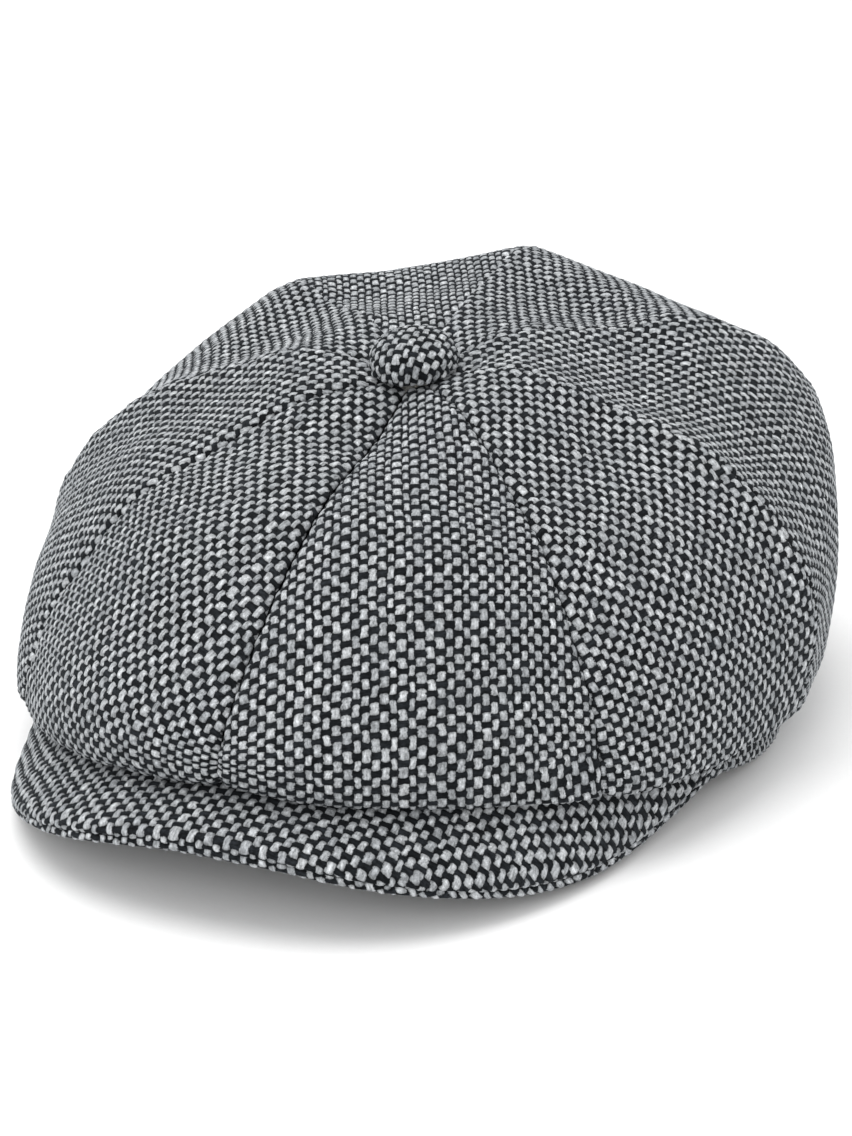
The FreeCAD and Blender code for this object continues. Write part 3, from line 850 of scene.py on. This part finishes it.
def crown_gore(number, material):
    """One tweed gore of the crown, its yarns in line with its own centre line."""
    centre, half = (number + 0.5) * GORE_ANGLE, GORE_ANGLE / 2
    steps, shares = np.linspace(GORE_START, CROWN_END, 300), np.linspace(-1, 1, 41)
    middle = len(shares) // 2
    share_grid, step_grid = crossed(shares, steps)
    surface = crown_surface(centre - half * share_grid, step_grid).reshape(len(steps), len(shares), 3)
    run = run_along(surface[:, middle])
    pieces = np.linalg.norm(np.diff(surface, axis=1), axis=2)
    width_low, width_high = pieces[:, :middle].sum(1), pieces[:, middle:].sum(1)
    width = (width_low + width_high) / 2
    window = np.ones(41) / 41
    bow = np.gradient(width, run) / (2 * np.maximum(width, 1.0))
    bow = np.pad(bow, len(window) // 2, mode="edge")
    bow = np.convolve(bow, window, mode="valid").clip(0.0, 0.02)
    total = run[-1]

    def side_width(share_sign, step):
        low, high = np.interp(step, steps, width_low), np.interp(step, steps, width_high)
        return np.where(share_sign < 0, low, high)

    side_steps = np.interp(np.linspace(0, total, int(total / EDGE_STEP)), run, steps)
    low_count, high_count = (max(3, int(2 * end / EDGE_STEP)) for end in (width[0], width[-1]))
    edge_share, edge_step = rectangle(np.linspace(-1, 1, low_count), side_steps,
                                      np.linspace(1, -1, high_count))
    edge_width = side_width(edge_share, edge_step)
    edge_share = edge_share * (1 - SEAM_GAP / edge_width)
    edge_u = edge_share * edge_width
    edge_s = np.interp(edge_step, steps, run)
    edge_v = edge_s
    for _ in range(30):
        edge_v = 0.5 * edge_v + 0.5 * (edge_s - edge_u ** 2 * np.interp(edge_v, run, bow))
    outline = columns(edge_u, edge_v)

    def place(flat, on_edge):
        u, v = flat[:, 0], flat[:, 1]
        s = np.clip(v + u ** 2 * np.interp(v, run, bow), 0, total)
        step = np.interp(s, run, steps)
        width_here = side_width(u, step)
        limit = 1 - SEAM_GAP / width_here
        share = np.clip(u / width_here, -limit, limit)
        edge = on_edge >= 0
        for values, edge_values in ((share, edge_share), (step, edge_step), (s, edge_s)):
            values[edge] = edge_values[on_edge[edge]]
        angle = centre - half * share
        lean = np.interp(step, steps, np.gradient(width, run))
        from_side = (1 - np.abs(share)) * width_here / np.sqrt(1 + lean ** 2)
        from_end = np.minimum(total - s, s)
        seam = np.where(share > 0, number, number + 1) % GORES
        pucker = np.zeros(len(u))
        for each in np.unique(seam):
            here = seam == each
            along = step[here] * PROFILE_STEP
            pucker[here] = ripples(along, 0 * along, 40 + int(each), 6.0, 13.0, 5)
        drop = SEAM_DEPTH * np.maximum(1 - np.minimum(from_side, from_end) / SEAM_ROLL, 0.0) ** 2.2
        pull = 0.5 * np.exp(-from_side / 5.0) * (1 - 0.7 * pucker)
        base = crown_surface(angle, step)
        normal = surface_normals(crown_surface, angle, step, 0.05, 0.004)
        return base + normal * (drop + pull)[:, None]

    name = GORE_NAMES[number]
    piece = tweed_patch("tweed_gore_" + name, outline, place, material, 100 + 10 * number)
    return declare(piece, "crown_panel_" + name, "cap", "draped",
                   bends="front" in name)


def peak_cover(name, node, above, material, seed):
    """Tweed cover of the peak, rolled round the rim to the seam at mid-height."""
    sign = 1.0 if above else -1.0
    across = np.concatenate([np.full(8, -1.0), np.linspace(-1, 1, 400), np.full(8, 1.0)])
    outward = np.concatenate([np.linspace(0, 1, 9)[:8], np.ones(400), np.linspace(1, 0, 9)[1:]])
    rim = spaced(peak_pattern(across, outward), EDGE_STEP)
    root = spaced(peak_pattern(np.linspace(1, -1, 300), np.zeros(300)), EDGE_STEP)[1:-1]
    along = unit(np.gradient(rim, axis=0))
    out = columns(along[:, 1], -along[:, 0])
    outline = np.concatenate([rim + RIM_EXTRA * out, root])
    edge = outline[:len(rim)]
    mirror = np.array([sign, 1.0])
    turned = outline if above else (outline * mirror)[::-1]

    def place(flat, on_edge):
        flat = flat * mirror
        nearest = distance_to(flat, edge)[1]
        depth = np.maximum(-((flat - edge[nearest]) * out[nearest]).sum(1), 0.0)
        turn = np.minimum(depth, RIM_TURN) / RIM_RADIUS
        bulge = RIM_PROUD * (1 - smooth_step(depth, 0.5 * RIM_TURN, RIM_TURN + 6.0))
        bulge = bulge - RIM_GROOVE * np.maximum(1 - depth / 1.5, 0.0) ** 1.6
        inset = RIM_RADIUS * (1 - np.cos(turn)) + np.maximum(depth - RIM_TURN, 0.0) - bulge
        moved = flat + out[nearest] * (depth - RIM_EXTRA - inset)[:, None]
        laid = peak_place(moved)
        soft = 0.25 * ripples(flat[:, 0], flat[:, 1], seed + 7, 22.0, 60.0)
        laid[:, 2] += RIM_RADIUS + sign * (RIM_RADIUS * np.sin(turn) + soft)
        return laid

    piece = tweed_patch(name, turned, place, material, seed, upright=True)
    length = float(np.linalg.norm(np.diff(rim, axis=0), axis=1).sum())
    piece["flat_size"] = [length, piece["flat_area"] / length]
    return declare(piece, node, "peak", "stretched", bends=True)


def outer_band(material):
    """Tweed band in one strip round the cap, folded under at its lower edge and seamed at the back."""
    turns = np.linspace(-179.9, 179.9, 1500)
    line = oval_inset(turns, 0 * turns, 0.0)
    run = run_along(line[:, :2])
    fold = math.pi * BAND_ROLL
    low, high = -(BAND_INSIDE + fold), BAND_TOP - BAND_ROLL
    long_run = np.linspace(0, run[-1], int(run[-1] / EDGE_STEP))
    short_run = np.linspace(low, high, int((high - low) / EDGE_STEP))
    outline = columns(*rectangle(long_run, short_run, long_run[::-1]))

    def place(flat, on_edge):
        oval_angle = np.interp(flat[:, 0], run, turns)
        v = flat[:, 1]
        turn = np.clip(-v / BAND_ROLL, 0, math.pi)
        inset = BAND_ROLL * (1 - np.cos(turn))
        height = BAND_ROLL * (1 - np.sin(turn)) + np.maximum(v, 0) + np.maximum(-v - fold, 0)
        from_seam = np.minimum(flat[:, 0], run[-1] - flat[:, 0])
        inset = inset + 0.8 * np.maximum(1 - from_seam / SEAM_ROLL, 0.0) ** 2.2
        wave = 0.18 * ripples(flat[:, 0], v, 71, 16.0, 40.0)
        return oval_inset(oval_angle, height + BAND_CLEAR, inset + wave)

    piece = tweed_patch("tweed_outer_band", outline, place, material, 300, thickness=0.8)
    return declare(piece, "outer_band", "cap", "folded", bends=True)


def button_cover(material):
    """Tweed disc stretched over the button and gathered under its rim."""
    lean = math.radians(BUTTON_TILT)
    axes = np.array([[1, 0, 0], [0, math.cos(lean), math.sin(lean)], [0, -math.sin(lean), math.cos(lean)]])
    turn = np.linspace(math.pi / 2, 0, 200)
    profile = columns(BUTTON_RADIUS * np.cos(turn) ** 0.7, BUTTON_HEIGHT * np.sin(turn) ** 0.9)
    under = np.linspace(0, math.pi / 2, 20)[1:]
    tuck = columns(BUTTON_RADIUS - BUTTON_TUCK * (1 - np.cos(under)), -0.7 * np.sin(under))
    profile = np.concatenate([profile, tuck])
    run = run_along(profile)
    rim = np.linspace(0, 2 * math.pi, int(2 * math.pi * run[-1] / EDGE_STEP) + 1)[:-1]
    outline = run[-1] * columns(np.cos(rim), np.sin(rim))

    def place(flat, on_edge):
        reach = np.linalg.norm(flat, axis=1)
        heading = np.arctan2(flat[:, 1], flat[:, 0])
        radius, height = np.interp(reach, run, profile[:, 0]), np.interp(reach, run, profile[:, 1])
        gather = smooth_step(reach, 0.55 * run[-1], 0.95 * run[-1])
        wave = np.cos(BUTTON_PLEATS * heading + 1.3 * np.sin(3 * heading))
        radius = radius + 0.34 * gather * wave
        local = columns(radius * np.cos(heading), radius * np.sin(heading), height)
        return BUTTON_BASE + local @ axes

    piece = tweed_patch("tweed_button_cover", outline, place, material, 400, thickness=0.9)
    return declare(piece, "button_cover", "button", "stretched")


def lining_gore(number, material):
    """One satin gore of the lining."""
    name = GORE_NAMES[number]

    def surface(angle, position):
        join_height = band_bottom(band_angle(angle)) + SWEATBAND_HEIGHT + LINING_LIFT
        join = columns(band_radius(angle) - LINING_INSET, join_height)
        controls = np.concatenate([around(LINING_SEAMS, angle), join[:, None]], axis=1)
        point, normal = on_profile(controls, position)
        from_seam = np.minimum(angle % GORE_ANGLE, GORE_ANGLE - angle % GORE_ANGLE)
        from_seam = from_seam * math.pi / 180 * point[:, 0]
        pucker = ripples(position * 20.0, from_seam * 0.5, 500, 6.0, 14.0)
        fold = ripples(polar(point[:, 0], point[:, 1], angle)[:, 0], point[:, 0], 501, 20.0, 60.0)
        sink = -0.5 * np.exp(-from_seam / 2.0) * (1 + 0.4 * pucker) - 0.35 - 0.3 * fold
        sink = sink * smooth_step(LINING_SEAMS.shape[1] - position, 0.0, 0.5)
        point = point + normal * sink[:, None]
        return polar(point[:, 0], point[:, 1], angle)

    start = number * GORE_ANGLE
    angles = np.linspace(start + GORE_ANGLE - LINING_GAP, start + LINING_GAP, 41)
    positions = np.linspace(0, LINING_SEAMS.shape[1], 90)
    piece = cloth_panel("satin_lining_" + name, surface, angles, positions, LINING, material)
    return declare(piece, "lining_panel_" + name, "cap", "hung",
                   bends="front" in name)


def band_layer(name, node, inset, lift, height, thickness, material, held, ripple):
    """One inner layer of the headband, open at the back seam."""
    def surface(oval_angle, up):
        wave = ripple * ripples(oval_angle * 1.7, up, 600, 12.0, 50.0)
        edge = np.minimum(up, height - up)
        roll = 0.35 * thickness * np.maximum(1 - edge / 0.8, 0.0) ** 2
        return oval_inset(oval_angle, up + lift, inset + wave + roll)

    turns = np.linspace(-179.8, 179.8, 361)
    rows = np.concatenate([np.linspace(0, 0.8, 5)[:-1], np.linspace(0.8, height - 0.8, 18),
                           np.linspace(height - 0.8, height, 5)[1:]])
    piece = cloth_panel(name, surface, turns, rows, thickness, material)
    return declare(piece, node, "cap", held, bends=True)


def peak_board(material):
    """Stiffener between the peak's covers."""
    def surface(across, outward):
        inset = BOARD_INSET / np.linalg.norm(peak_rim(across) - peak_root(across), axis=1)
        return peak_surface(across, inset + (1 - 2 * inset) * outward) + np.array([0, 0, BOARD_UNDER])

    piece = cloth_panel("moulded_peak_board", surface, np.linspace(-BOARD_END, BOARD_END, 91),
                        np.linspace(0, 1, 40), BOARD, material, upright=True)
    return declare(piece, "peak_board", "peak", None, bends=True)


def blank_label(material, thread):
    """Plain satin label at the centre back, sewn down on all four sides."""
    half_turn = math.degrees(LABEL_HALF_LENGTH / BAND_HALF_WIDTH)

    def surface(oval_angle, up):
        from_end = (half_turn - np.abs(oval_angle - 180)) * 1.6
        edge = np.minimum(np.minimum(up, LABEL_HEIGHT - up), from_end)
        puff = 0.22 * smooth_step(edge, 0.6, 3.0)
        return oval_inset(oval_angle, up + LABEL_LIFT, LABEL_INSET + puff)

    turns = np.linspace(180 - half_turn, 180 + half_turn, 61)
    piece = cloth_panel("blank_label_patch", surface, turns, np.linspace(0, LABEL_HEIGHT, 30), LABEL,
                        material)
    declare(piece, "blank_label", "cap", "laid")
    low, high = 180 - half_turn + LABEL_STITCH_TURN, 180 + half_turn - LABEL_STITCH_TURN
    under, over = LABEL_STITCH_MARGIN, LABEL_HEIGHT - LABEL_STITCH_MARGIN
    corners = [(low, under), (high, under), (high, over), (low, over), (low, under)]
    path = np.concatenate([np.linspace(a, b, 40)[:-1] for a, b in zip(corners[:-1], corners[1:])])
    line, inward = (oval_inset(path[:, 0], path[:, 1] + LABEL_LIFT, LABEL_INSET + depth)
                    for depth in (0.45, 1.45))
    row = stitches("label_stitches", line, inward - line, thread, length=1.4, gap=0.5, radius=0.13)
    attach(row, "cap")


def sweatband_stitches(thread):
    """Row of stitches near the sweatband's lower edge."""
    turns = np.linspace(-179.0, 179.0, 1400)
    inset = SWEATBAND_INSET + SWEATBAND
    line, inward = (oval_inset(turns, 0 * turns + STITCH_LIFT, inset + depth) for depth in (0.0, 1.0))
    row = stitches("sweatband_stitches", line, inward - line, thread)
    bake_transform(row)


def build_cap():
    wool = tweed()
    satin = ribbed_cloth("lining_satin", (0.020, 0.021, 0.024, 1), 2.4, 0.35, 0.00003, 0.34,
                         Sheen_Weight=0.15, Anisotropic=0.5, Specular_IOR_Level=0.6)
    twill = ribbed_cloth("sweatband_twill", (0.016, 0.016, 0.018, 1), 1.5, 1.0, 0.00012, 0.7,
                         Sheen_Weight=0.25)
    white_satin = ribbed_cloth("label_satin", (0.66, 0.65, 0.62, 1), 3.0, 0.0, 0.00003, 0.38,
                               Sheen_Weight=0.2, Anisotropic=0.4)
    felt = speckled("interlining_felt", (0.22, 0.22, 0.23, 1), (0.42, 0.42, 0.43, 1), 900.0, 0.0002, 0.9,
                    Sheen_Weight=0.2)
    board = speckled("pressed_board", (0.52, 0.47, 0.38, 1), (0.34, 0.30, 0.23, 1), 500.0, 0.0001, 0.8)
    thread = speckled("sewing_thread", (0.03, 0.03, 0.033, 1), (0.07, 0.07, 0.075, 1), 2500.0, 0.00005, 0.6)
    metal = speckled("button_metal", (0.62, 0.60, 0.56, 1), (0.42, 0.41, 0.39, 1), 1500.0, 0.00003, 0.36,
                     Metallic=1.0)
    for number in range(GORES):
        crown_gore(number, wool)
        lining_gore(number, satin)
    peak_cover("tweed_peak_top", "peak_top_cover", True, wool, 200)
    peak_cover("tweed_peak_under", "peak_under_cover", False, wool, 230)
    outer_band(wool)
    button_cover(wool)
    band_layer("felt_interlining", "sweatband_interlining", INTERLINING_INSET,
               INTERLINING_LIFT, INTERLINING_HEIGHT, INTERLINING, felt, "laid", 0.04)
    band_layer("twill_sweatband", "sweatband", SWEATBAND_INSET, SWEATBAND_LIFT,
               SWEATBAND_HEIGHT, SWEATBAND, twill, "laid", 0.12)
    peak_board(board)
    blank_label(white_satin, thread)
    sweatband_stitches(thread)
    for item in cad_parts.values():
        if not item.hide_render:
            item.data.materials.clear()
            item.data.materials.append(metal)


# ==== studio ====

def area_light(name, place, size, power):
    light = bpy.data.lights.new(name, "AREA")
    light.shape = "DISK"
    light.size = size
    light.energy = power
    item = bpy.data.objects.new(name, light)
    item.location = place
    item.rotation_euler = (Vector(CAP_MIDDLE) - Vector(place)).to_track_quat("-Z", "Y").to_euler()
    bpy.context.scene.collection.objects.link(item)


def build_studio():
    corners = [(x * FLOOR_REACH, y * FLOOR_REACH, 0) for x, y in ((-1, -1), (1, -1), (1, 1), (-1, 1))]
    floor = mesh_object("studio_floor", corners, [(0, 1, 2, 3)], backdrop())
    world = bpy.data.worlds.new("soft_white")
    world.use_nodes = True
    background = world.node_tree.nodes["Background"]
    background.inputs["Color"].default_value = (1, 1, 1, 1)
    background.inputs["Strength"].default_value = WORLD_BRIGHTNESS
    bpy.context.scene.world = world
    for name, place, size, power in SOFTBOXES:
        area_light(name, place, size, power)
    bpy.context.scene.view_settings.view_transform = "Standard"


def build_camera():
    camera = bpy.data.cameras.new("photo_camera")
    camera.lens = CAMERA_LENS
    camera.sensor_width = 36.0
    camera.clip_start = 0.01
    camera.clip_end = 50.0
    item = bpy.data.objects.new("photo_camera", camera)
    item.location = CAMERA_PLACE
    item.rotation_euler = Euler((math.radians(90 - CAMERA_ELEVATION), 0, math.radians(CAMERA_AZIMUTH)))
    bpy.context.scene.collection.objects.link(item)
    bpy.context.scene.camera = item


build_cap()
build_studio()
build_camera()
